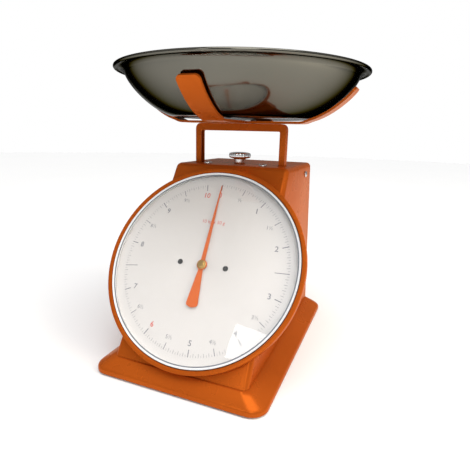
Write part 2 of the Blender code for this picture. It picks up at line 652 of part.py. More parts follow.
def build_load_frame(pin_yz):
    """Cross-bars between the bracket's legs, the arm that drives the rack, and the link pins."""
    y_front = LOAD_Y - BRACKET_DEPTH / 2 - GAP
    pin_y, pin_z = pin_yz
    bar_t = 2 * MM
    upper = box(-BRACKET_HALF_W, BRACKET_HALF_W, y_front - bar_t, y_front, pin_z - 5 * MM, pin_z + 5 * MM)
    upper_bar = add_object("upper_crossbar", upper, "zinc")
    for side, sign in SIDES.items():
        x = sign * (BRACKET_HALF_W - 3.2 * MM)
        add_boolean(upper_bar, turned(cylinder(1.8 * MM, -4 * MM, 4 * MM), "X", pi / 2, (x, y_front, pin_z)))
        place = (x, y_front - bar_t - GAP, pin_z)
        add_screw(f"upper_bar_screw_{side}", "zinc", place, (0, -1, 0), 3 * MM, 1.6 * MM, 1.5 * MM, 6 * MM)

    arm_back = y_front - bar_t - GAP
    plate_x = 7.5 * MM
    outline = [(-11 * MM, arm_back), (-11 * MM, arm_back - bar_t), (plate_x, arm_back - bar_t),
               (plate_x, pin_y - 14.5 * MM), (plate_x + bar_t, pin_y - 14.5 * MM),
               (plate_x + bar_t, arm_back)]
    arm = add_object("rack_arm", prism(outline, pin_z - 4.5 * MM, pin_z + 4.5 * MM), "zinc")
    slot = prism(slot_outline(11 * MM, 1 * MM + GAP), plate_x - 3 * MM, plate_x + 5 * MM, "X")
    bmesh.ops.translate(slot, verts=slot.verts, vec=(0, pin_y - 5 * MM, pin_z))
    add_boolean(arm, slot)

    inner = 1.5 * MM + GAP
    y0, y1 = LOAD_Y - BRACKET_DEPTH / 2 + inner, LOAD_Y + BRACKET_DEPTH / 2 - inner
    end = BRACKET_HALF_W - inner
    low, high = 86 * MM, SPRING_BOTTOM - GAP
    lower_bar = add_object("lower_crossbar", box(-end, end, y0, y1, low, high), "zinc")
    for side, sign in SIDES.items():
        boss = cylinder(2.9 * MM, high - 1 * MM, high + 8 * MM, x=sign * SPRING_X, y=LOAD_Y)
        add_boolean(lower_bar, boss, "UNION")
    for side, sign in SIDES.items():
        hole = turned(cylinder(1.8 * MM, -9 * MM, 9 * MM), "Y", pi / 2, (sign * end, LOAD_Y, 89 * MM))
        add_boolean(lower_bar, hole)
        place = (sign * (BRACKET_HALF_W + GAP), LOAD_Y, 89 * MM)
        add_screw(f"lower_bar_screw_{side}", "zinc", place, (sign, 0, 0), 3 * MM, 1.6 * MM, 1.5 * MM, 9 * MM)

    for name, pivot_z in LEVER_PIVOTS.items():
        for side, sign in SIDES.items():
            profile = [(0, -1.5 * MM), (2.6 * MM, -1.5 * MM), (2.6 * MM, -GAP), (1.5 * MM, -GAP),
                       (1.5 * MM, 16 * MM), (0, 16 * MM)]
            bm = turned(lathe(profile, ROUND_SMALL), "Y", -sign * pi / 2)
            pin = add_object(f"{name}_link_pin_{side}", bm, "zinc", smooth=True)
            pin.location = (sign * BRACKET_HALF_W, LOAD_Y + GAP, pivot_z + LEVER_RISE)


def build_levers():
    """Two U-shaped levers hold the load bracket upright. Each turns on its shaft at the rear."""
    angle = atan2(LEVER_RISE, (LEVER_LEN ** 2 - LEVER_RISE ** 2) ** 0.5)
    for name, pivot_z in LEVER_PIVOTS.items():
        axis = add_empty(f"{name}_lever_axis", (0, LEVER_PIVOT_Y, pivot_z), -angle)
        side = (arc((0, 0), 4.5 * MM, -90, 90, 6) + arc((-LEVER_LEN, 0), 4.5 * MM, 90, 270, 6))
        wide = LEVER_X + 1 * MM
        obj = add_object(f"{name}_guide_lever", prism(side, -wide, wide, "X"), "zinc", axis)
        middle = prism([(-60 * MM, -10 * MM), (-18 * MM, -10 * MM), (-18 * MM, 10 * MM), (-60 * MM, 10 * MM)],
                       -wide + 2 * MM, wide - 2 * MM, "X")
        add_boolean(obj, middle, parent=axis)
        rear = prism([(-14 * MM, -10 * MM), (10 * MM, -10 * MM), (10 * MM, 10 * MM), (-14 * MM, 10 * MM)],
                     -wide + 2 * MM, wide - 2 * MM, "X")
        add_boolean(obj, rear, parent=axis)
        add_boolean(obj, turned(cylinder(1.8 * MM, -60 * MM, 60 * MM), "Y", pi / 2), parent=axis)
        slot = prism(slot_outline(1.4 * MM, 1.8 * MM), -60 * MM, 60 * MM, "X")
        bmesh.ops.translate(slot, verts=slot.verts, vec=(0, 0.2 * MM - LEVER_LEN, 0))
        add_boolean(obj, slot, parent=axis)


def build_springs():
    """Two tension springs carry the load from the hanger down to the lower cross-bar."""
    turns, per_turn, sides = 11, 8, 5
    mean_r, wire_r = 4.4 * MM, 0.9 * MM
    length = SPRING_TOP - SPRING_BOTTOM - 2 * wire_r
    for side, sign in SIDES.items():
        rings = []
        for i in range(turns * per_turn + 1):
            share = i / (turns * per_turn)
            turn = 2 * pi * turns * share
            out = Vector((cos(turn), sin(turn), 0))
            centre = out * mean_r + Vector((0, 0, SPRING_BOTTOM + wire_r + length * share))
            ring = []
            for k in range(sides):
                a = 2 * pi * k / sides
                ring.append(centre + out * wire_r * cos(a) + Vector((0, 0, wire_r * sin(a))))
            rings.append(ring)
        obj = add_object(f"spring_{side}", loft(rings), "spring_steel", smooth=True)
        obj.location = (sign * SPRING_X, LOAD_Y, 0)


def build_zero_adjuster():
    """The knob turns a screw that lifts or lowers the bar that the springs hang from."""
    high = SPRING_TOP + GAP + 6 * MM
    low = SPRING_TOP + GAP
    bar = box(-36 * MM, 36 * MM, LOAD_Y - 4.5 * MM, LOAD_Y + 4.5 * MM, low, high)
    obj = add_object("spring_hanger", bar, "zinc")
    for sign in (-1, 1):
        boss = cylinder(2.9 * MM, low - 8 * MM, low + 1 * MM, x=sign * SPRING_X, y=LOAD_Y)
        add_boolean(obj, boss, "UNION")
    add_boolean(obj, cylinder(2.5 * MM + GAP, low - 3 * MM, high + 3 * MM, 16, 0, LOAD_Y))

    axis = add_empty("zero_axis", (0, LOAD_Y, HOUSING_TOP))
    rod = cylinder(2.5 * MM, -30 * MM, 8 * MM)
    add_object("zero_screw", rod, "zinc", axis, smooth=True)
    knob = [(0, 8.4 * MM), (2.8 * MM, 8.4 * MM), (2.8 * MM, GAP), (6.4 * MM, GAP), (6.8 * MM, 1 * MM),
            (6.8 * MM, 6 * MM), (KNOB_R - 0.6 * MM, 7.2 * MM), (KNOB_R, 8.2 * MM), (KNOB_R, 10.6 * MM),
            (KNOB_R - 0.6 * MM, 11.8 * MM), (8 * MM, 12.8 * MM), (0, 13.3 * MM)]
    add_object("zero_knob", lathe(knob, ROUND_MID), "chrome", axis, smooth=True)


# ---------------------------------------------------------------- bowl and carrier

def bowl_wall(share):
    """Outer (radius, height) of the bowl's wall, from the flat bottom (0) to the lip (1)."""
    power = 2 / 1.4
    a = share * pi / 2
    radius = BOWL_FLAT_R + (BOWL_WALL_R - BOWL_FLAT_R) * sin(a) ** power
    height = BOWL_WALL_Z - (BOWL_WALL_Z - BOWL_BOTTOM) * cos(a) ** power
    return radius, height


def offset_path(points, distance):
    """Move a (radius, height) path to its left by distance."""
    moved = []
    for i, (r, z) in enumerate(points):
        r0, z0 = points[max(0, i - 1)]
        r1, z1 = points[min(len(points) - 1, i + 1)]
        length = hypot(r1 - r0, z1 - z0)
        moved.append((max(0, r - distance * (z1 - z0) / length), z + distance * (r1 - r0) / length))
    return moved


def build_bowl():
    """A spun bowl with a lip that turns outwards and ends in a rolled bead."""
    steps = 8
    outer = [(0, BOWL_BOTTOM)] + [bowl_wall(i / steps) for i in range(steps + 1)]
    outer += [(127 * MM, 294.3 * MM), (130.5 * MM, 295.6 * MM)]
    inner = offset_path(outer, BOWL_T)
    inner[0] = (0, BOWL_BOTTOM + BOWL_T)
    bead_r = 1.7 * MM
    bead = arc((BOWL_R - bead_r, 296.4 * MM), bead_r, -120, 120, 4)
    profile = outer + bead + list(reversed(inner))
    obj = add_object("bowl", lathe(profile, ROUND_BIG), "stainless", smooth=True)
    obj.location = (0, LOAD_Y, 0)


def build_carrier():
    """A cross pressed from flat sheet, with its four arms bent up beside the bowl."""
    half = ARM_WIDTH / 2
    low = CARRIER_BOTTOM
    flat_end = 70 * MM
    wall = [bowl_wall(share) for share in (0.1, 0.23, 0.36, 0.50, 0.64, 0.77)]
    path = [(flat_end, low + ARM_T)]
    for i, (r, z) in enumerate(wall):
        away = (0.7 + 0.45 * i) * MM
        r0, z0 = wall[max(0, i - 1)]
        r1, z1 = wall[min(len(wall) - 1, i + 1)]
        length = hypot(r1 - r0, z1 - z0)
        path.append((r + away * (z1 - z0) / length, z - away * (r1 - r0) / length))
    under = [(r, z) for r, z in offset_path(path, -ARM_T)]
    under[0] = (flat_end, low)
    bm = box(-half, half, -half, half, low, low + ARM_T)
    bm.normal_update()
    side_faces = [face for face in bm.faces if abs(face.normal.z) < 0.5]
    for face in side_faces:
        direction = face.normal.copy()
        across = Vector((-direction.y, direction.x, 0))
        count = len(path)
        for i in range(count):
            last = (i == count - 1)
            width = half * (0.55 if last else 1)
            result = bmesh.ops.extrude_discrete_faces(bm, faces=[face])
            face = result["faces"][0]
            upper = [vert for vert in face.verts if is_upper(vert, face)]
            for vert in face.verts:
                r, z = path[i] if vert in upper else under[i]
                side = 1 if vert.co.dot(across) > 0 else -1
                vert.co = direction * r + across * side * width + Vector((0, 0, z))
            bm.normal_update()
    obj = add_object("bowl_carrier", bm, "orange_paint", smooth=True)
    obj.location = (0, LOAD_Y, 0)
    for side, sign in SIDES.items():
        add_boolean(obj, cylinder(1.8 * MM, low - 4 * MM, low + 6 * MM, x=sign * 15 * MM, y=LOAD_Y))
        add_screw(f"carrier_screw_{side}", "zinc", (sign * 15 * MM, LOAD_Y, low + ARM_T + GAP), (0, 0, 1),
                  3.4 * MM, 1.9 * MM, 1.5 * MM, 7 * MM)


def is_upper(vert, face):
    """Whether a vert of an arm's end face belongs to the sheet's upper side."""
    heights = sorted(v.co.z for v in face.verts)
    return vert.co.z > (heights[1] + heights[2]) / 2


def build():
    clear_scene()
    dial = add_empty("dial_axis", (0, DIAL_Y, DIAL_Z), pi / 2 - TILT)
    build_base()
    build_housing(dial)
    build_back_cover()
    build_frame(dial)
    build_dial(dial)
    build_bearings(dial)
    pitch = build_pointer(dial)
    pin_yz = build_rack(dial, pitch)
    build_load_bracket()
    build_load_frame(pin_yz)
    build_levers()
    build_springs()
    build_zero_adjuster()
    build_bowl()
    build_carrier()


build()
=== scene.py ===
import json
from math import atan2, cos, hypot, pi, radians, sin, tan

import bmesh
import bpy
from mathutils import Matrix, Vector


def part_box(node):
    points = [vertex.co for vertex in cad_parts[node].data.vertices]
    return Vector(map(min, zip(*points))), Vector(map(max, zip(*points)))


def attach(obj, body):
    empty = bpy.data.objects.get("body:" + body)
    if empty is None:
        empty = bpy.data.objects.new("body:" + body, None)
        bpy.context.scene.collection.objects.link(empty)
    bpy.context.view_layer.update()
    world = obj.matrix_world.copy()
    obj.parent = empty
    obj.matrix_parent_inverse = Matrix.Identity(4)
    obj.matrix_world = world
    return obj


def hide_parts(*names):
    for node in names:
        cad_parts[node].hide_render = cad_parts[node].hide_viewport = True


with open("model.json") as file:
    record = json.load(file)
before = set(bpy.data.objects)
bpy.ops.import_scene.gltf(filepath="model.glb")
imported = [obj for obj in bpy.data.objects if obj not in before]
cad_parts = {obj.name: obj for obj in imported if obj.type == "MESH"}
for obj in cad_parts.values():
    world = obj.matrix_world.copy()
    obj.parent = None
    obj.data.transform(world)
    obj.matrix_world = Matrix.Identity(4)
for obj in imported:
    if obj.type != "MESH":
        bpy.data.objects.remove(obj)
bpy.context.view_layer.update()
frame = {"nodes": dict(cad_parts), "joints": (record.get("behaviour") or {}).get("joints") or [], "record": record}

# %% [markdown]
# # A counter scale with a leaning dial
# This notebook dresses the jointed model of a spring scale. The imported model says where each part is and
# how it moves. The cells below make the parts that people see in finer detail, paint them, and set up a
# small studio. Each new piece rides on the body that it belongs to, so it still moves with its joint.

MM = 0.001

# %% [markdown]
# ## Where things are
# The shop drawing gives three things that most parts are placed from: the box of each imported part, the
# axis of the pointer, and the line through the bowl, the load bracket and the zero knob.
# The dial leans back. A matrix that carries "flat on the bench" to "leaning on the housing" lets the dial
# parts be made the easy way, lying flat round the origin, and then be lifted into place.

# %% Axes and levels of the scale
joints = {joint["name"]: joint for joint in frame["joints"]}
spindle = joints["pointer_spin"]
dial_centre = Vector(spindle["pos_m"])
toward_reader = -Vector(spindle["axis"]) if spindle["axis"][1] > 0 else Vector(spindle["axis"])
lean = atan2(toward_reader.z, -toward_reader.y)
ON_DIAL = Matrix.Translation(dial_centre) @ Matrix.Rotation(pi / 2 - lean, 4, "X")

bowl_low, bowl_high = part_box("bowl")
LOAD_Y = (bowl_low.y + bowl_high.y) / 2
house_low, house_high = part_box("housing")
base_low, base_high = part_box("base_plate")


def middle_of(node):
    """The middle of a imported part's box."""
    low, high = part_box(node)
    return (low + high) / 2


SIDES = (("left", -1), ("right", 1))
SHEET, LEG = 1.5 * MM, 6.5 * MM
print("dial leans", round(lean * 180 / pi, 1), "degrees; bowl line at y", round(LOAD_Y, 4))

# %% [markdown]
# ## Shaping tools
# Turned parts, such as knobs, bowls and rings, come off a lathe: half an outline is swept round an axis.
# Flat parts are cut from an outline and given a thickness. Real corners are never perfectly sharp, so
# `soften` swaps each corner of an outline for a short curve that catches the light.

# %% Outlines
def soften(points, radius, steps=4, closed=False):
    """The same outline with each corner cut back by radius and replaced by a smooth curve."""
    corners = [Vector(p) for p in points]
    made = []
    for i, corner in enumerate(corners):
        if not closed and i in (0, len(corners) - 1):
            made.append(tuple(corner))
            continue
        before, after = corners[i - 1], corners[(i + 1) % len(corners)]
        back, ahead = before - corner, after - corner
        reach_back = min(radius, back.length * 0.45)
        reach_ahead = min(radius, ahead.length * 0.45)
        first = corner + back.normalized() * reach_back
        last = corner + ahead.normalized() * reach_ahead
        for step in range(steps + 1):
            t = step / steps
            made.append(tuple(first * (1 - t) ** 2 + corner * 2 * t * (1 - t) + last * t ** 2))
    return made


def rounded_rectangle(x0, x1, y0, y1, radius, steps=10):
    """Corner arcs, anticlockwise, of a rectangle with round corners."""
    centres = ((x1 - radius, y0 + radius, -90), (x1 - radius, y1 - radius, 0),
               (x0 + radius, y1 - radius, 90), (x0 + radius, y0 + radius, 180))
    points = []
    for cx, cy, start in centres:
        for step in range(steps + 1):
            angle = radians(start + 90 * step / steps)
            points.append((cx + radius * cos(angle), cy + radius * sin(angle)))
    return points


# %% Turning, cutting and drilling
def lathe(profile, steps=96, ring=False):
    """Sweep (radius, height) points round Z. A ring's profile is closed; others run from axis to axis."""
    bm = bmesh.new()
    verts = [bm.verts.new((r, 0, z)) for r, z in profile]
    ends = verts[1:] + (verts[:1] if ring else [])
    edges = [bm.edges.new(pair) for pair in zip(verts, ends)]
    bmesh.ops.spin(bm, geom=verts + edges, cent=(0, 0, 0), axis=(0, 0, 1), angle=2 * pi,
                   steps=steps, use_merge=True)
    bmesh.ops.remove_doubles(bm, verts=bm.verts, dist=1e-6)
    bmesh.ops.recalc_face_normals(bm, faces=bm.faces)
    return bm


def plate(outline, low, high):
    """A flat part cut from an outline, standing from low to high."""
    bm = bmesh.new()
    verts = [bm.verts.new((x, y, low)) for x, y in outline]
    edges = [bm.edges.new(pair) for pair in zip(verts, verts[1:] + verts[:1])]
    face = bmesh.ops.contextual_create(bm, geom=edges)["faces"]
    top = bmesh.ops.extrude_face_region(bm, geom=face)["geom"]
    bmesh.ops.translate(bm, verts=[v for v in top if isinstance(v, bmesh.types.BMVert)],
                        vec=(0, 0, high - low))
    bmesh.ops.recalc_face_normals(bm, faces=bm.faces)
    return bm


def rod(radius, length, at=(0, 0, 0), along="Z", segments=32):
    """A plain round bar centred on a point, used mostly as a drill."""
    bm = bmesh.new()
    turn = {"Z": Matrix.Identity(4), "X": Matrix.Rotation(pi / 2, 4, "Y"),
            "Y": Matrix.Rotation(pi / 2, 4, "X")}[along]
    bmesh.ops.create_cone(bm, cap_ends=True, segments=segments, radius1=radius, radius2=radius,
                          depth=length, matrix=Matrix.Translation(at) @ turn)
    return bm


def block(low, high):
    """A plain box between two corners."""
    low, high = Vector(low), Vector(high)
    bm = bmesh.new()
    bmesh.ops.create_cube(bm, size=1)
    bmesh.ops.scale(bm, verts=bm.verts, vec=high - low)
    bmesh.ops.translate(bm, verts=bm.verts, vec=(low + high) / 2)
    return bm


def moved(bm, matrix):
    bmesh.ops.transform(bm, matrix=matrix, verts=bm.verts)
    return bm


def together(parts):
    """Several small meshes as one."""
    whole = bmesh.new()
    for part in parts:
        scrap = bpy.data.meshes.new("scrap")
        part.to_mesh(scrap)
        part.free()
        whole.from_mesh(scrap)
        bpy.data.meshes.remove(scrap)
    return whole


# %% Making pieces, and taking metal away from them
def as_object(bm, name):
    mesh = bpy.data.meshes.new(name)
    bm.to_mesh(mesh)
    bm.free()
    obj = bpy.data.objects.new(name, mesh)
    bpy.context.scene.collection.objects.link(obj)
    return obj


def settle(obj):
    """Turn an object's modifiers into plain mesh."""
    bpy.context.view_layer.update()
    ready = obj.evaluated_get(bpy.context.evaluated_depsgraph_get())
    mesh = bpy.data.meshes.new_from_object(ready)
    old = obj.data
    obj.modifiers.clear()
    obj.data = mesh
    bpy.data.meshes.remove(old)


def cut(obj, tools):
    """Take every tool's shape out of an object, then put the tools away."""
    cutter = as_object(together(tools), "cutter")
    trim = obj.modifiers.new("trim", "BOOLEAN")
    trim.operation, trim.solver, trim.object = "DIFFERENCE", "EXACT", cutter
    settle(obj)
    spare = cutter.data
    bpy.data.objects.remove(cutter)
    bpy.data.meshes.remove(spare)


def dress(obj, finish, body, nodes=(), sharp=35, edge=0.0):
    """Give a piece its finish and shading, and say what it stands for and what it rides on."""
    obj.data.materials.clear()
    obj.data.materials.append(finishes[finish])
    obj.data.shade_smooth()
    obj.data.set_sharp_from_angle(angle=radians(sharp))
    if edge:
        round_off = obj.modifiers.new("edges", "BEVEL")
        round_off.width, round_off.segments, round_off.limit_method = edge, 3, "ANGLE"
        round_off.angle_limit = radians(40)
        round_off.harden_normals = True
    if nodes:
        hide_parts(*nodes)
    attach(obj, body)
    print(f"{obj.name}: {len(obj.data.polygons)} faces, rides on {body}")
    return obj


# %% [markdown]
# ## Finishes
# A finish is never one flat colour. Enamel has faint patches and an orange-peel skin, plated parts have
# a grain, and rubber is dull and rough. Each finish here mixes two close shades with noise, lets the
# roughness wander a little, and adds a very shallow bump. All noise is read in the object's own space,
# so it stays on the part when the part moves. The orange enamel is partly metallic, so its shine takes
# the colour of the paint.

# %% A maker for painted, plated and moulded finishes
finishes = {}


def finish(name, shade, other, rough, metal=0.0, patch=40.0, grain=900.0, depth=0.004 * MM,
           specular=0.5):
    """A Principled finish whose colour, roughness and skin vary over the part."""
    mat = bpy.data.materials.new(name)
    mat.use_nodes = True
    nodes, links = mat.node_tree.nodes, mat.node_tree.links
    skin = nodes["Principled BSDF"]
    skin.inputs["Metallic"].default_value = metal
    skin.inputs["Specular IOR Level"].default_value = specular

    where = nodes.new("ShaderNodeTexCoord")

    def noise(scale, detail):
        made = nodes.new("ShaderNodeTexNoise")
        made.inputs["Scale"].default_value = scale
        made.inputs["Detail"].default_value = detail
        links.new(where.outputs["Object"], made.inputs["Vector"])
        return made.outputs["Fac"]

    blend = nodes.new("ShaderNodeMix")
    blend.data_type = "RGBA"
    blend.inputs["A"].default_value = (*shade, 1)
    blend.inputs["B"].default_value = (*other, 1)
    links.new(noise(patch, 4), blend.inputs["Factor"])
    links.new(blend.outputs["Result"], skin.inputs["Base Color"])

    wander = nodes.new("ShaderNodeMapRange")
    wander.inputs["To Min"].default_value = max(0.02, rough * 0.8)
    wander.inputs["To Max"].default_value = min(1.0, rough * 1.2)
    links.new(noise(patch * 2.3, 3), wander.inputs["Value"])
    links.new(wander.outputs["Result"], skin.inputs["Roughness"])

    bump = nodes.new("ShaderNodeBump")
    bump.inputs["Distance"].default_value = depth
    bump.inputs["Strength"].default_value = 0.6
    links.new(noise(grain, 2), bump.inputs["Height"])
    links.new(bump.outputs["Normal"], skin.inputs["Normal"])
    finishes[name] = mat
    return mat


# %% Paint, plating, print and rubber
paint = finish("orange_paint", (0.54, 0.110, 0.011), (0.40, 0.073, 0.008), 0.28, metal=0.35, patch=14,
               grain=420, depth=0.012 * MM, specular=0.08)
paint.node_tree.nodes["Principled BSDF"].inputs["Specular Tint"].default_value = (1.0, 0.58, 0.16, 1)
finish("chrome", (0.88, 0.88, 0.88), (0.78, 0.79, 0.80), 0.16, metal=1.0, patch=70)
finish("zinc", (0.66, 0.67, 0.68), (0.52, 0.52, 0.52), 0.32, metal=1.0, patch=90, grain=1500)
finish("spring_steel", (0.42, 0.42, 0.43), (0.30, 0.30, 0.31), 0.30, metal=1.0, patch=120)
finish("brass", (0.72, 0.48, 0.16), (0.58, 0.36, 0.11), 0.24, metal=1.0, patch=80)
finish("dial_print", (0.62, 0.595, 0.575), (0.59, 0.565, 0.545), 0.5, patch=12, grain=300)
finish("pointer_red", (0.60, 0.118, 0.012), (0.52, 0.095, 0.010), 0.4, patch=60, specular=0.3)
finish("lens_ring", (0.88, 0.89, 0.90), (0.80, 0.81, 0.83), 0.30, patch=25)
# Painted shade: a grey that stands in for the shadow gap where the lens meets the bezel.
finish("painted_shade_grey", (0.20, 0.22, 0.25), (0.16, 0.17, 0.20), 0.5, patch=60)
finish("dark_steel", (0.10, 0.10, 0.10), (0.05, 0.05, 0.05), 0.38, metal=0.8, patch=150)
finish("rubber", (0.035, 0.035, 0.035), (0.02, 0.02, 0.02), 0.85, patch=110, grain=1400,
       depth=0.03 * MM, specular=0.25)
finish("black_ink", (0.16, 0.16, 0.18), (0.22, 0.22, 0.24), 0.6, patch=300)
finish("red_ink", (0.62, 0.13, 0.10), (0.56, 0.10, 0.08), 0.6, patch=300)

# %% [markdown]
# ## Polished steel of the bowl
# The bowl is spun from sheet and polished while it turns, so its marks run in circles round its own
# axis. The distance from that axis drives a one-dimensional noise: every point of one circle gets the
# same height, which is what a polishing wheel leaves. The steel's colour and its edge tint are far darker
# than real stainless: painted dark reflection, standing in for the dim surroundings that the bowl mirrors.

# %% Spun and polished stainless steel
def polished_steel():
    # Painted dark reflection: both shades are far darker than real stainless, standing in for dim surroundings
    # mirrored in the bowl.
    mat = finish("stainless", (0.17, 0.162, 0.138), (0.115, 0.112, 0.093), 0.10, metal=1.0, patch=9)
    nodes, links = mat.node_tree.nodes, mat.node_tree.links
    where = nodes.new("ShaderNodeTexCoord")
    from_axis = nodes.new("ShaderNodeVectorMath")
    from_axis.operation = "SUBTRACT"
    from_axis.inputs[1].default_value = (0, LOAD_Y, 0)
    flat = nodes.new("ShaderNodeVectorMath")
    flat.operation = "MULTIPLY"
    flat.inputs[1].default_value = (1, 1, 0)
    radius = nodes.new("ShaderNodeVectorMath")
    radius.operation = "LENGTH"
    rings = nodes.new("ShaderNodeTexNoise")
    rings.noise_dimensions = "1D"
    rings.inputs["Scale"].default_value = 700
    rings.inputs["Detail"].default_value = 3
    links.new(where.outputs["Object"], from_axis.inputs[0])
    links.new(from_axis.outputs["Vector"], flat.inputs[0])
    links.new(flat.outputs["Vector"], radius.inputs[0])
    links.new(radius.outputs["Value"], rings.inputs["W"])
    bump = next(node for node in nodes if node.type == "BUMP")
    bump.inputs["Distance"].default_value = 0.012 * MM
    # The dark edge tint is painted dark reflection too.
    nodes["Principled BSDF"].inputs["Specular Tint"].default_value = (0.12, 0.12, 0.11, 1)
    links.new(rings.outputs["Fac"], bump.inputs["Height"])


polished_steel()

# %% [markdown]
# ## Clear lens
# A moulded lens bends almost no light, but a renderer that traces shadows would still make it block the
# lamps. The lens is clear plastic to the eye, and simply open to rays on their way to a lamp.

# %% Clear plastic
def clear_plastic():
    mat = bpy.data.materials.new("clear_lens")
    mat.use_nodes = True
    nodes, links = mat.node_tree.nodes, mat.node_tree.links
    skin = nodes["Principled BSDF"]
    skin.inputs["Transmission Weight"].default_value = 1.0
    skin.inputs["IOR"].default_value = 1.49
    where = nodes.new("ShaderNodeTexCoord")
    smear = nodes.new("ShaderNodeTexNoise")
    smear.inputs["Scale"].default_value = 16
    dull = nodes.new("ShaderNodeMapRange")
    dull.inputs["To Min"].default_value = 0.0
    dull.inputs["To Max"].default_value = 0.05
    tint = nodes.new("ShaderNodeMix")
    tint.data_type = "RGBA"
    tint.inputs["A"].default_value = (0.985, 0.99, 1.0, 1)
    tint.inputs["B"].default_value = (0.97, 0.98, 0.99, 1)
    links.new(where.outputs["Object"], smear.inputs["Vector"])
    links.new(smear.outputs["Fac"], dull.inputs["Value"])
    links.new(smear.outputs["Fac"], tint.inputs["Factor"])
    links.new(tint.outputs["Result"], skin.inputs["Base Color"])
    links.new(dull.outputs["Result"], skin.inputs["Roughness"])
    open_way = nodes.new("ShaderNodeBsdfTransparent")
    kind = nodes.new("ShaderNodeLightPath")
    either = nodes.new("ShaderNodeMixShader")
    links.new(kind.outputs["Is Shadow Ray"], either.inputs["Fac"])
    links.new(skin.outputs["BSDF"], either.inputs[1])
    links.new(open_way.outputs["BSDF"], either.inputs[2])
    links.new(either.outputs["Shader"], nodes["Material Output"].inputs["Surface"])
    finishes["clear_lens"] = mat


clear_plastic()

# %% [markdown]
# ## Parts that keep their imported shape
# The works inside the housing, the back cover, the bottom plate and the feet are simple shapes. They
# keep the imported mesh, and only trade its plain colour for the finish of their slot.

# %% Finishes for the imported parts
slot_of = {part["node"]: part["material_slot"] for part in frame["record"]["subparts"]}
for node, packed in frame["nodes"].items():
    for index in range(len(packed.data.materials)):
        packed.data.materials[index] = finishes[slot_of[node]]
print(len(frame["nodes"]), "packed parts have a finish")

# %% [markdown]
# ## Base plate
# The base is one pressed tray. Its rim stands upright, then the sheet rolls over and climbs in a shallow
# slope to the flat on which the housing stands. Each level of the press tool is a rectangle with round
# corners; neighbouring levels are bridged, and the sheet's thickness is added last.

# %% Pressed base
def pressed_base():
    top, slope = house_low.z - 0.3 * MM, 17 * MM
    corner_foot, corner_top = 16 * MM, 9 * MM
    wall = soften([(0, base_low.z), (0, base_low.z + 4.4 * MM), (slope / 2, 11.8 * MM), (slope, top)],
                  3.2 * MM, 6)
    wall += [(slope + 4 * MM, top)]
    bm = bmesh.new()
    before = None
    for inset, height in wall:
        share = min(inset / slope, 1)
        radius = corner_foot + (corner_top - corner_foot) * share
        beyond = max(0.0, inset - slope)
        outline = rounded_rectangle(
            base_low.x + inset, base_high.x - inset, base_low.y + 11 * MM * share + beyond,
            base_high.y - 11.5 * MM * share - beyond, radius - beyond)
        verts = [bm.verts.new((x, y, height)) for x, y in outline]
        loop = [bm.edges.new(pair) for pair in zip(verts, verts[1:] + verts[:1])]
        if before:
            bmesh.ops.bridge_loops(bm, edges=before + loop)
        before = loop
    bmesh.ops.contextual_create(bm, geom=before)
    bmesh.ops.recalc_face_normals(bm, faces=bm.faces)
    if sum(face.normal.z for face in bm.faces) < 0:
        bmesh.ops.reverse_faces(bm, faces=bm.faces)
    obj = as_object(bm, "pressed_base")
    sheet = obj.modifiers.new("sheet", "SOLIDIFY")
    sheet.thickness, sheet.offset = SHEET, -1
    cut(obj, [rod(2.1 * MM, 40 * MM, (middle_of(f"frame_screw_{side}").x, 45 * MM, 16 * MM))
              for side, sign in SIDES])
    return dress(obj, "orange_paint", "stand", ["base_plate"])


pressed_base()

# %% [markdown]
# ## Housing
# The housing is bent and welded sheet: a front that leans with the dial, two sides and a top. Blender's
# cube has the right eight corners, so it is pulled into a wedge, its show edges are rolled over, and the
# faces that are open on the real one are taken out.

# %% Sheet housing
def sheet_housing():
    foot, top = 13.5 * MM, house_high.z
    front_foot = house_low.y - (house_low.z - foot) * tan(lean)
    front_top = house_low.y + (top - house_low.z) * tan(lean)
    back_foot, back_top = house_high.y, house_high.y - 6 * MM
    wide_foot, wide_top = house_high.x, house_high.x - 5 * MM
    bm = bmesh.new()
    bmesh.ops.create_cube(bm, size=2)
    for vert in bm.verts:
        side = 1 if vert.co.x > 0 else -1
        is_front = vert.co.y < 0
        if vert.co.z > 0:
            vert.co = (side * wide_top, front_top if is_front else back_top, top)
        else:
            vert.co = (side * wide_foot, front_foot if is_front else back_foot, foot)
    bm.normal_update()
    spare = [face for face in bm.faces if face.normal.z < -0.9 or face.normal.y > 0.9]
    bmesh.ops.delete(bm, geom=spare, context="FACES")
    rolled = [edge for edge in bm.edges if len(edge.link_faces) == 2]
    bmesh.ops.bevel(bm, geom=rolled, offset=5 * MM, affect="EDGES", segments=8, profile=0.5, material=-1)
    obj = as_object(bm, "sheet_housing")
    sheet = obj.modifiers.new("sheet", "SOLIDIFY")
    sheet.thickness, sheet.offset, sheet.use_even_offset = SHEET, -1, True
    settle(obj)
    leg_low, leg_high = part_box("load_bracket")
    room = 1.5 * MM
    tools = [block((-0.1, -0.2, 0), (0.1, 0.2, house_low.z)),
             moved(rod(50 * MM, 30 * MM, (0, 0, -15 * MM), segments=64), ON_DIAL),
             rod(3.5 * MM, 12 * MM, (0, LOAD_Y, top))]
    for side, sign in SIDES:
        middle, half = sign * (leg_high.x - LEG / 2), LEG / 2 + room
        tools.append(block((middle - half, leg_low.y - room, top - 6 * MM),
                           (middle + half, leg_high.y + room, top + 6 * MM)))
        screw_at = middle_of(f"top_screw_{side}")
        tools.append(rod(2 * MM, 12 * MM, (screw_at.x, screw_at.y, top)))
    for level in ("top", "bottom"):
        screw_at = middle_of(f"cover_screw_right_{level}")
        tools.append(rod(1.9 * MM, 200 * MM, (0, screw_at.y, screw_at.z), "X"))
    cut(obj, tools)
    return dress(obj, "orange_paint", "stand", ["housing"])


sheet_housing()

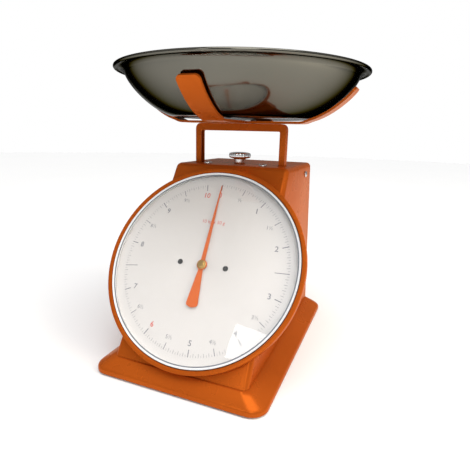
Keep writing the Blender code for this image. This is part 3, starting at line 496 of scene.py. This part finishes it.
# %% [markdown]
# ## Dial pan, face, lens and ring
# These four stack like a pie dish, a plate, a watch glass and its bezel. A thin grey ring where the glass
# meets the bezel is painted shade: it stands in for the shadow in that gap. Each is turned flat round the
# origin, with height zero at the dish's rim, and then tilted onto the housing.

# %% Turned dial parts
PAN_BACK, PAN_R = -8.9 * MM, 104.6 * MM
FACE_R = 98.6 * MM


def turned_on_dial(name, profile, finish_name, nodes, radius=0.5 * MM, steps=192, ring=True, holes=()):
    obj = as_object(moved(lathe(soften(profile, radius, 4, closed=ring), steps, ring), ON_DIAL), name)
    if holes:
        cut(obj, [moved(rod(1.9 * MM, 14 * MM, (x, 0, -7 * MM)), ON_DIAL) for x in holes])
    return dress(obj, finish_name, "stand", nodes, sharp=30)


screw_x = 25 * MM
pan_wall = [(8 * MM, PAN_BACK), (PAN_R - 1.2 * MM, PAN_BACK), (PAN_R, PAN_BACK + 4 * MM), (PAN_R, 0.4 * MM),
            (100.4 * MM, 0.4 * MM), (100.4 * MM, -5.5 * MM), (FACE_R + MM, PAN_BACK + 1.2 * MM),
            (8 * MM, PAN_BACK + 1.2 * MM)]
turned_on_dial("dial_dish", pan_wall, "orange_paint", ["dial_pan"], 0.6 * MM, holes=(-screw_x, screw_x))
face_edge = [(4 * MM, -7.4 * MM), (FACE_R, -7.4 * MM), (FACE_R, -6.6 * MM), (4 * MM, -6.6 * MM)]
turned_on_dial("printed_face", face_edge, "dial_print", ["dial_face"], 0.15 * MM,
               holes=(-screw_x, screw_x))
lens_edge = [(0, -2.2 * MM), (97.4 * MM, -2.2 * MM), (97.4 * MM, -1 * MM), (0, -1 * MM)]
turned_on_dial("watch_glass", lens_edge, "clear_lens", ["dial_lens"], 0.3 * MM, ring=False)
bezel = [(98.2 * MM, -6.2 * MM), (99.5 * MM, -6.2 * MM), (99.5 * MM, 0.3 * MM), (99.1 * MM, 0.4 * MM),
         (98.9 * MM, -0.4 * MM), (98.6 * MM, 0), (97.6 * MM, -0.2 * MM), (97.6 * MM, -2.6 * MM)]
turned_on_dial("white_bezel", bezel, "lens_ring", ["lens_ring"], 0.25 * MM)
# A thin grey ring of painted shade, standing in for the shadow in the gap between the glass and the bezel.
shade_gap_outline = [(96.5 * MM, -0.95 * MM), (97.5 * MM, -0.95 * MM), (97.5 * MM, -0.3 * MM), (96.5 * MM, -0.3 * MM)]
turned_on_dial("painted_shade_ring", shade_gap_outline, "painted_shade_grey", ["lens_ring"], 0.12 * MM)

# %% [markdown]
# ## Printing the dial
# The pointer passes every mark in turn, so the marks are spaced by the joint: full travel of the load
# slide times the coupling's ratio is the angle of 10 kg. Ticks come every 50 g and grow longer at 100 g,
# half and whole kilograms. Ink is a film here, a twentieth of a millimetre thick.

# %% Ticks
link = next(c for c in frame["record"]["behaviour"]["couplings"] if c["joint"] == "pointer_spin")
full_turn = abs(joints["load_slide"]["range_m"][0] * link["ratio"])
PER_KG = full_turn / 10
INK_LOW, INK_HIGH = -6.59 * MM, -6.54 * MM
print("10 kg turns the pointer by", round(full_turn * 180 / pi, 1), "degrees")


def tick(kilos, inner, outer, width):
    line = block((-width / 2, inner, INK_LOW), (width / 2, outer, INK_HIGH))
    return moved(line, Matrix.Rotation(-kilos * PER_KG, 4, "Z"))


ticks = []
for count in range(201):
    kilos = count / 20
    if count % 10 == 0:
        start = 74 if count in (50, 150) else 81.5
        ticks.append(tick(kilos, start * MM, 88.4 * MM, (0.9 if count % 20 == 0 else 0.7) * MM))
    elif count % 2 == 0:
        ticks.append(tick(kilos, 85 * MM, 88.4 * MM, 0.34 * MM))
    else:
        ticks.append(tick(kilos, 86.4 * MM, 88.4 * MM, 0.26 * MM))
dress(as_object(moved(together(ticks), ON_DIAL), "dial_ticks"), "black_ink", "stand")

# %% [markdown]
# ## Numerals
# Blender's own lettering becomes a mesh before it is placed. The figures stand upright all the way
# round, whole kilograms are bold, and the first, sixth and last whole figures are red.

# %% Figures round the dial
def lettering(words, size, weight, at):
    """Flat figures, centred on a point of the dial."""
    curve = bpy.data.curves.new("figures", "FONT")
    curve.body, curve.size, curve.offset = words, size, weight
    curve.align_x, curve.align_y = "CENTER", "CENTER"
    curve.extrude, curve.resolution_u = (INK_HIGH - INK_LOW) / 2, 3
    holder = bpy.data.objects.new("figures", curve)
    bpy.context.scene.collection.objects.link(holder)
    bpy.context.view_layer.update()
    mesh = bpy.data.meshes.new_from_object(
        holder.evaluated_get(bpy.context.evaluated_depsgraph_get()))
    bm = bmesh.new()
    bm.from_mesh(mesh)
    bpy.data.objects.remove(holder)
    bpy.data.curves.remove(curve)
    bpy.data.meshes.remove(mesh)
    return moved(bm, Matrix.Translation((at[0], at[1], (INK_LOW + INK_HIGH) / 2)))


black, red = [], [lettering("10 kg x 50 g", 5.2 * MM, 0.0, (0, 46 * MM))]
for half_kilos in range(21):
    angle = half_kilos * PER_KG / 2
    at = (76 * MM * sin(angle), 76 * MM * cos(angle))
    if half_kilos in (5, 15):
        continue
    if half_kilos % 2 == 0:
        figure = lettering(str(half_kilos // 2), 7.6 * MM, 0.12 * MM, at)
        (red if half_kilos in (0, 12, 20) else black).append(figure)
    else:
        whole = half_kilos // 2
        black.append(lettering(f"{whole or ''}½", 5.6 * MM, 0.0, at))
dress(as_object(moved(together(black), ON_DIAL), "black_figures"), "black_ink", "stand")
dress(as_object(moved(together(red), ON_DIAL), "red_figures"), "red_ink", "stand")

# %% [markdown]
# ## Pointer and its nut
# The pointer is stamped from thin sheet. Its broad tail balances the long needle, so that it doesn't
# sag at the sides of the dial. A small brass nut holds it to its shaft.

# %% Stamped pointer
def stamped_pointer():
    hub = 5.4 * MM
    needle = [(2.1 * MM, hub * 0.92), (1.35 * MM, 50 * MM), (0.3 * MM, 86.4 * MM), (0, 87.2 * MM),
              (-0.3 * MM, 86.4 * MM), (-1.35 * MM, 50 * MM), (-2.1 * MM, hub * 0.92)]
    left = [(hub * cos(radians(a)), hub * sin(radians(a))) for a in range(124, 246, 8)]
    tail = soften([(-2.3 * MM, -hub * 0.9), (-6.4 * MM, -41 * MM), (0, -43.4 * MM), (6.4 * MM, -41 * MM),
                   (2.3 * MM, -hub * 0.9)], 2.6 * MM, 6)
    right = [(hub * cos(radians(a)), hub * sin(radians(a))) for a in range(-64, 58, 8)]
    bm = plate(needle + left + tail + right, -5.2 * MM, -4.4 * MM)
    obj = as_object(moved(bm, ON_DIAL), "stamped_pointer")
    cut(obj, [moved(rod(1.5 * MM, 4 * MM, (0, 0, -4.8 * MM)), ON_DIAL)])
    return dress(obj, "pointer_red", "pointer", ["pointer"], edge=0.12 * MM)


stamped_pointer()
nut_profile = soften([(0, -2.5 * MM), (2.4 * MM, -2.5 * MM), (2.9 * MM, -3.1 * MM), (4.5 * MM, -3.2 * MM),
                      (4.8 * MM, -4.1 * MM), (1.5 * MM, -4.1 * MM), (1.5 * MM, -3 * MM), (0, -3 * MM)],
                     0.3 * MM, 4)
dress(as_object(moved(lathe(nut_profile, 48), ON_DIAL), "brass_nut"), "brass", "pointer",
      ["pointer_nut"])

# %% [markdown]
# ## Screws
# One lathe profile makes every screw. Dial screws have a straight slot, the others a cross recess,
# both cut with small blocks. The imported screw's box says where the head sits and which way it faces.

# %% Screws of the dial, the top and the back cover
def screw(name, finish_name, place, head_r, head_h, shank, slots, depth):
    dome = [(head_r * cos(a), head_h * (0.35 + 0.65 * sin(a))) for a in (0, 0.35, 0.7, 1.05, 1.35)]
    profile = [(0, -shank), (1.5 * MM, -shank), (1.5 * MM, 0), (head_r, 0)] + dome + [(0, head_h)]
    obj = as_object(lathe(profile, 40), name)
    reach = head_r * 1.1 if slots == 1 else head_r * 0.55
    blades = [block((-reach, -0.42 * MM, head_h - depth), (reach, 0.42 * MM, head_h + MM)),
              block((-0.42 * MM, -reach, head_h - depth), (0.42 * MM, reach, head_h + MM))][:slots]
    for blade in blades:
        cut(obj, [blade])
    obj.data.transform(place)
    return dress(obj, finish_name, "stand", [name.replace("fine_", "")], sharp=40)


for side, sign in SIDES:
    turn = Matrix.Rotation(radians(20 * sign + 8), 4, "Z")
    screw(f"fine_dial_screw_{side}", "dark_steel",
          ON_DIAL @ Matrix.Translation((sign * screw_x, 0, -6.3 * MM)) @ turn,
          2.7 * MM, 0.8 * MM, 14 * MM, 1, 0.5 * MM)
    head = 2.1 * MM
    low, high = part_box(f"top_screw_{side}")
    seat = Matrix.Translation(((low.x + high.x) / 2, (low.y + high.y) / 2, high.z - head))
    screw(f"fine_top_screw_{side}", "chrome", seat @ turn, 4.4 * MM, head, 10 * MM, 2, 1.2 * MM)
    for level in ("top", "bottom"):
        head = 2 * MM
        low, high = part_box(f"cover_screw_{side}_{level}")
        middle = (low + high) / 2
        outward = high.x if sign > 0 else low.x
        seat = (Matrix.Translation((outward - sign * head, middle.y, middle.z))
                @ Matrix.Rotation(sign * pi / 2, 4, "Y"))
        screw(f"fine_cover_screw_{side}_{level}", "zinc", seat @ turn, 3.6 * MM, head,
              high.x - low.x - head, 2, 1.2 * MM)

# %% [markdown]
# ## Load bracket
# The bracket is an upside-down U pressed as a channel, so a thin sheet carries the whole load without
# bending. It is cut from its outline, hollowed from the inside of the U, and drilled wherever a pin or
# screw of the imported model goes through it.

# %% Channel-section bracket
def channel_bracket():
    low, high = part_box("load_bracket")
    bar, wall, drill = 8 * MM, 1.5 * MM, 1.8 * MM

    def outline(inset, leg_width, bar_height, drop, radius):
        half, top, foot = high.x - inset, high.z - inset, low.z - drop
        outer = soften([(half, foot), (half, top), (-half, top), (-half, foot)], radius, 8)
        inner_x, inner_z = high.x - leg_width, high.z - bar_height
        inner = soften([(-inner_x, foot), (-inner_x, inner_z), (inner_x, inner_z), (inner_x, foot)],
                       1.5 * MM, 4)
        return outer + inner

    stand_up = Matrix.Rotation(pi / 2, 4, "X")
    bm = moved(plate(outline(0, LEG, bar, 0, 7 * MM), -high.y, -low.y), stand_up)
    obj = as_object(bm, "channel_bracket")
    hollow = plate(outline(wall, LEG + 3 * MM, bar + 3 * MM, 5 * MM, 6 * MM), -high.y + wall, -low.y - wall)
    cut(obj, [moved(hollow, stand_up)])
    holes = []
    for side, sign in SIDES:
        at = middle_of(f"carrier_screw_{side}")
        holes.append(rod(drill, 12 * MM, (at.x, at.y, high.z - 2 * MM)))
        edge = high.x if sign > 0 else low.x
        for pin in ("upper_link_pin", "lower_link_pin", "lower_bar_screw"):
            at = middle_of(f"{pin}_{side}")
            holes.append(rod(drill, 12 * MM, (edge, at.y, at.z), "X"))
        at = middle_of(f"upper_bar_screw_{side}")
        holes.append(rod(drill, 6 * MM, (at.x, low.y, at.z), "Y"))
    cut(obj, holes)
    return dress(obj, "orange_paint", "load", ["load_bracket"], sharp=30, edge=0.7 * MM)


channel_bracket()

# %% [markdown]
# ## Bowl
# The wall follows one flowing curve from the flat bottom to the lip, which turns outwards and ends in a
# rolled bead. Rolling the edge makes it stiff and safe to hold. The inside is the same path, moved in by
# the thickness of the sheet.

# %% Spun bowl
FLAT_R, WALL_R = 75 * MM, 124.5 * MM
FLAT_Z, WALL_Z = bowl_low.z, bowl_high.z - 5.9 * MM
BOWL_SHEET = 1 * MM


def bowl_wall(share):
    """Outer radius and height of the bowl's wall, from the flat bottom (0) to the lip (1)."""
    power = 2 / 1.4
    a = share * pi / 2
    return (FLAT_R + (WALL_R - FLAT_R) * sin(a) ** power, WALL_Z - (WALL_Z - FLAT_Z) * cos(a) ** power)


def beside(path, distance):
    """A (radius, height) path moved to its left."""
    made = []
    for i, (r, z) in enumerate(path):
        r0, z0 = path[max(0, i - 1)]
        r1, z1 = path[min(len(path) - 1, i + 1)]
        length = hypot(r1 - r0, z1 - z0)
        made.append((max(0, r - distance * (z1 - z0) / length), z + distance * (r1 - r0) / length))
    return made


def spun_bowl():
    steps = 40
    bead_r = 1.7 * MM
    bead_at = (bowl_high.x - bead_r, bowl_high.z - bead_r + 0.2 * MM)
    lip = soften([bowl_wall(0.97), (WALL_R + 0.4 * MM, WALL_Z + 0.5 * MM), (127 * MM, WALL_Z + 2.3 * MM),
                  (130.5 * MM, WALL_Z + 3.6 * MM)], 1.5 * MM, 4)
    outer = [(0, FLAT_Z)] + [bowl_wall(i / steps) for i in range(steps - 1)] + lip
    inner = beside(outer, BOWL_SHEET)
    inner[0] = (0, FLAT_Z + BOWL_SHEET)
    bead = [(bead_at[0] + bead_r * cos(radians(a)), bead_at[1] - 0.2 * MM + bead_r * sin(radians(a)))
            for a in range(-120, 121, 15)]
    obj = as_object(lathe(outer + bead + list(reversed(inner)), 192), "spun_bowl")
    obj.data.transform(Matrix.Translation((0, LOAD_Y, 0)))
    return dress(obj, "stainless", "bowl", ["bowl"], sharp=60)


spun_bowl()

# %% [markdown]
# ## Bowl carrier
# The carrier starts as a flat cross cut from sheet. Each arm is then bent up so that it follows the
# bowl at a small distance, which keeps the bowl centred but lets it be lifted off. Here every arm is a
# flat grid whose rows are moved to their place along the bend.

# %% Pressed cross with four bent arms
def pressed_carrier():
    low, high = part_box("bowl_carrier")
    half, thick, columns, screw_at = 11.5 * MM, 2.3 * MM, 8, 15 * MM
    wall = [bowl_wall(0.1 + 0.67 * i / 20) for i in range(21)]
    rise = []
    for i, (r, z) in enumerate(wall):
        r0, z0 = wall[max(0, i - 1)]
        r1, z1 = wall[min(len(wall) - 1, i + 1)]
        length = hypot(r1 - r0, z1 - z0)
        away = (0.7 + 2.25 * i / 20) * MM
        rise.append((r + away * (z1 - z0) / length, z - away * (r1 - r0) / length))
    path = soften([(half, low.z + thick), (72 * MM, low.z + thick), rise[0]], 4 * MM, 6)[:-1] + rise
    run = [0.0]
    for (r0, z0), (r1, z1) in zip(path, path[1:]):
        run.append(run[-1] + hypot(r1 - r0, z1 - z0))
    corner = 5 * MM

    def half_width(distance):
        left = run[-1] - distance
        if left >= corner:
            return half
        return half - corner + (corner ** 2 - (corner - left) ** 2) ** 0.5

    def along(distance):
        for i in range(1, len(run)):
            if distance <= run[i] or i == len(run) - 1:
                share = (distance - run[i - 1]) / (run[i] - run[i - 1])
                return (path[i - 1][0] + (path[i][0] - path[i - 1][0]) * share,
                        path[i - 1][1] + (path[i][1] - path[i - 1][1]) * share)

    rows = 56
    bend = run[-1] - corner
    stations = [bend * i / (rows - 12) for i in range(rows - 11)]
    stations += [bend + corner * sin(pi / 2 * i / 12) for i in range(1, 13)]
    bm = bmesh.new()
    bmesh.ops.create_grid(bm, x_segments=columns, y_segments=columns, size=half,
                          matrix=Matrix.Translation((0, 0, low.z + thick)))
    for quarter in range(4):
        arm = bmesh.ops.create_grid(bm, x_segments=len(stations) - 1, y_segments=columns, size=1)["verts"]
        for vert in arm:
            row = round((vert.co.x + 1) / 2 * (len(stations) - 1))
            r, z = along(stations[row])
            vert.co = (r, vert.co.y * half_width(stations[row]), z)
        bmesh.ops.rotate(bm, verts=arm, cent=(0, 0, 0), matrix=Matrix.Rotation(quarter * pi / 2, 3, "Z"))
    bmesh.ops.remove_doubles(bm, verts=bm.verts, dist=0.02 * MM)
    bmesh.ops.recalc_face_normals(bm, faces=bm.faces)
    if sum(face.normal.z for face in bm.faces) < 0:
        bmesh.ops.reverse_faces(bm, faces=bm.faces)
    bmesh.ops.translate(bm, verts=bm.verts, vec=(0, LOAD_Y, 0))
    obj = as_object(bm, "pressed_carrier")
    sheet = obj.modifiers.new("sheet", "SOLIDIFY")
    sheet.thickness, sheet.offset, sheet.use_even_offset = thick, -1, True
    cut(obj, [rod(1.8 * MM, 12 * MM, (sign * screw_at, LOAD_Y, low.z)) for side, sign in SIDES])
    return dress(obj, "orange_paint", "load", ["bowl_carrier"], sharp=40, edge=0.5 * MM)


pressed_carrier()

# %% [markdown]
# ## Zero knob
# The knob is turned and chromed, with flutes round its cap so that fingers can grip it. After the lathe
# step, every point near the rim is drawn in by a small wave that repeats round the cap.

# %% Fluted knob
def fluted_knob():
    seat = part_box("zero_knob")[0].z
    flutes, grip, flute_depth, run_in = 24, 11.8 * MM, 0.03, 0.5 * MM
    profile = [(0, 8.1), (2.8, 8.1), (2.8, 0), (6.4, 0), (6.8, 0.7), (6.8, 5.4), (11.7, 6.7), (12.5, 7.7),
               (12.5, 10.5), (11.7, 11.8), (8, 12.6), (0, 13)]
    profile = soften([(r * MM, z * MM) for r, z in profile], 0.7 * MM, 5)
    bm = lathe(profile, 192)
    for vert in bm.verts:
        reach = hypot(vert.co.x, vert.co.y)
        if reach > grip:
            wave = 0.5 - 0.5 * cos(flutes * atan2(vert.co.y, vert.co.x))
            vert.co.xy *= 1 - flute_depth * wave * min(1, (reach - grip) / run_in)
    bmesh.ops.translate(bm, verts=bm.verts, vec=(0, LOAD_Y, seat))
    return dress(as_object(bm, "fluted_knob"), "chrome", "zero_adjuster", ["zero_knob"])


fluted_knob()

# %% [markdown]
# ## Studio
# A pale floor and a pale room keep the eye on the scale. A large warm lamp on the right lights the side
# of the housing, a weaker one in front opens the shadows, and a broad one overhead brightens the rest. A
# small card stands where the glass mirrors it, low on the dial. The warm lamp lights parts but isn't
# mirrored by them, which keeps the side's colour clear. The room looks white to the camera, and is greyer
# towards the horizon for everything that it lights or that mirrors it.

# %% Floor, room and lamps
floor_mesh = bmesh.new()
bmesh.ops.create_circle(floor_mesh, cap_ends=True, segments=96, radius=4)
floor = as_object(floor_mesh, "pale_floor")
floor_finish = finish("pale_floor", (0.93, 0.93, 0.93), (0.91, 0.91, 0.91), 0.9, patch=3, specular=0.1)
floor.data.materials.append(floor_finish)


def soft_room():
    world = bpy.data.worlds.new("soft_room")
    world.use_nodes = True
    bpy.context.scene.world = world
    nodes, links = world.node_tree.nodes, world.node_tree.links
    paint = nodes["Background"]
    paint.inputs["Color"].default_value = (1, 1, 1, 1)
    where = nodes.new("ShaderNodeTexCoord")
    height = nodes.new("ShaderNodeSeparateXYZ")
    walls = nodes.new("ShaderNodeMapRange")
    walls.inputs["From Min"].default_value = 0.0
    walls.inputs["From Max"].default_value = 0.9
    walls.inputs["To Min"].default_value = 0.18
    walls.inputs["To Max"].default_value = 0.62
    kind = nodes.new("ShaderNodeLightPath")
    seen = nodes.new("ShaderNodeMix")
    seen.inputs["B"].default_value = 1.0
    links.new(where.outputs["Generated"], height.inputs["Vector"])
    links.new(height.outputs["Z"], walls.inputs["Value"])
    links.new(walls.outputs["Result"], seen.inputs["A"])
    links.new(kind.outputs["Is Camera Ray"], seen.inputs["Factor"])
    links.new(seen.outputs["Result"], paint.inputs["Strength"])


def lamp(name, at, aim, size, power, colour=(1, 1, 1)):
    light = bpy.data.lights.new(name, "AREA")
    light.size, light.energy, light.color = size, power, colour
    holder = bpy.data.objects.new(name, light)
    bpy.context.scene.collection.objects.link(holder)
    holder.location = at
    holder.rotation_euler = (Vector(aim) - Vector(at)).to_track_quat("-Z", "Y").to_euler()
    return holder


soft_room()
centre = (0, -0.02, 0.15)
right = lamp("right_softbox", (1.25, -0.15, 0.85), centre, 0.7, 11, (1, 0.90, 0.74))
right.visible_glossy = False
lamp("front_softbox", (0.55, -1.25, 0.95), centre, 0.5, 3.5)
lamp("window_card", (-0.17, -1.13, 0.58), (0.08, -0.14, 0.035), 0.18, 0.5)
skylight = bpy.data.lights.new("skylight", "SUN")
skylight.energy, skylight.angle = 1.8, radians(50)
overhead = bpy.data.objects.new("skylight", skylight)
overhead.rotation_euler = (radians(8), radians(10), 0)
bpy.context.scene.collection.objects.link(overhead)
bpy.context.scene.view_settings.view_transform = "Standard"

# %% [markdown]
# ## Camera
# The camera stands close, a little to the right of the dial and above it, so that the near corner of the
# base looks large. Its lens is a moderate wide angle.

# %% Viewpoint
view = bpy.data.cameras.new("view")
view.lens, view.sensor_width, view.clip_start = 30.1, 36, 0.01
camera = bpy.data.objects.new("view", view)
bpy.context.scene.collection.objects.link(camera)
to_the_right, tilt, roll = radians(22.0), radians(75.4), radians(1.4)
camera.matrix_world = (Matrix.Translation((0.1688, -0.4144, 0.2345))
                       @ Matrix.Rotation(to_the_right, 4, "Z") @ Matrix.Rotation(tilt, 4, "X")
                       @ Matrix.Rotation(roll, 4, "Z"))
bpy.context.scene.camera = camera
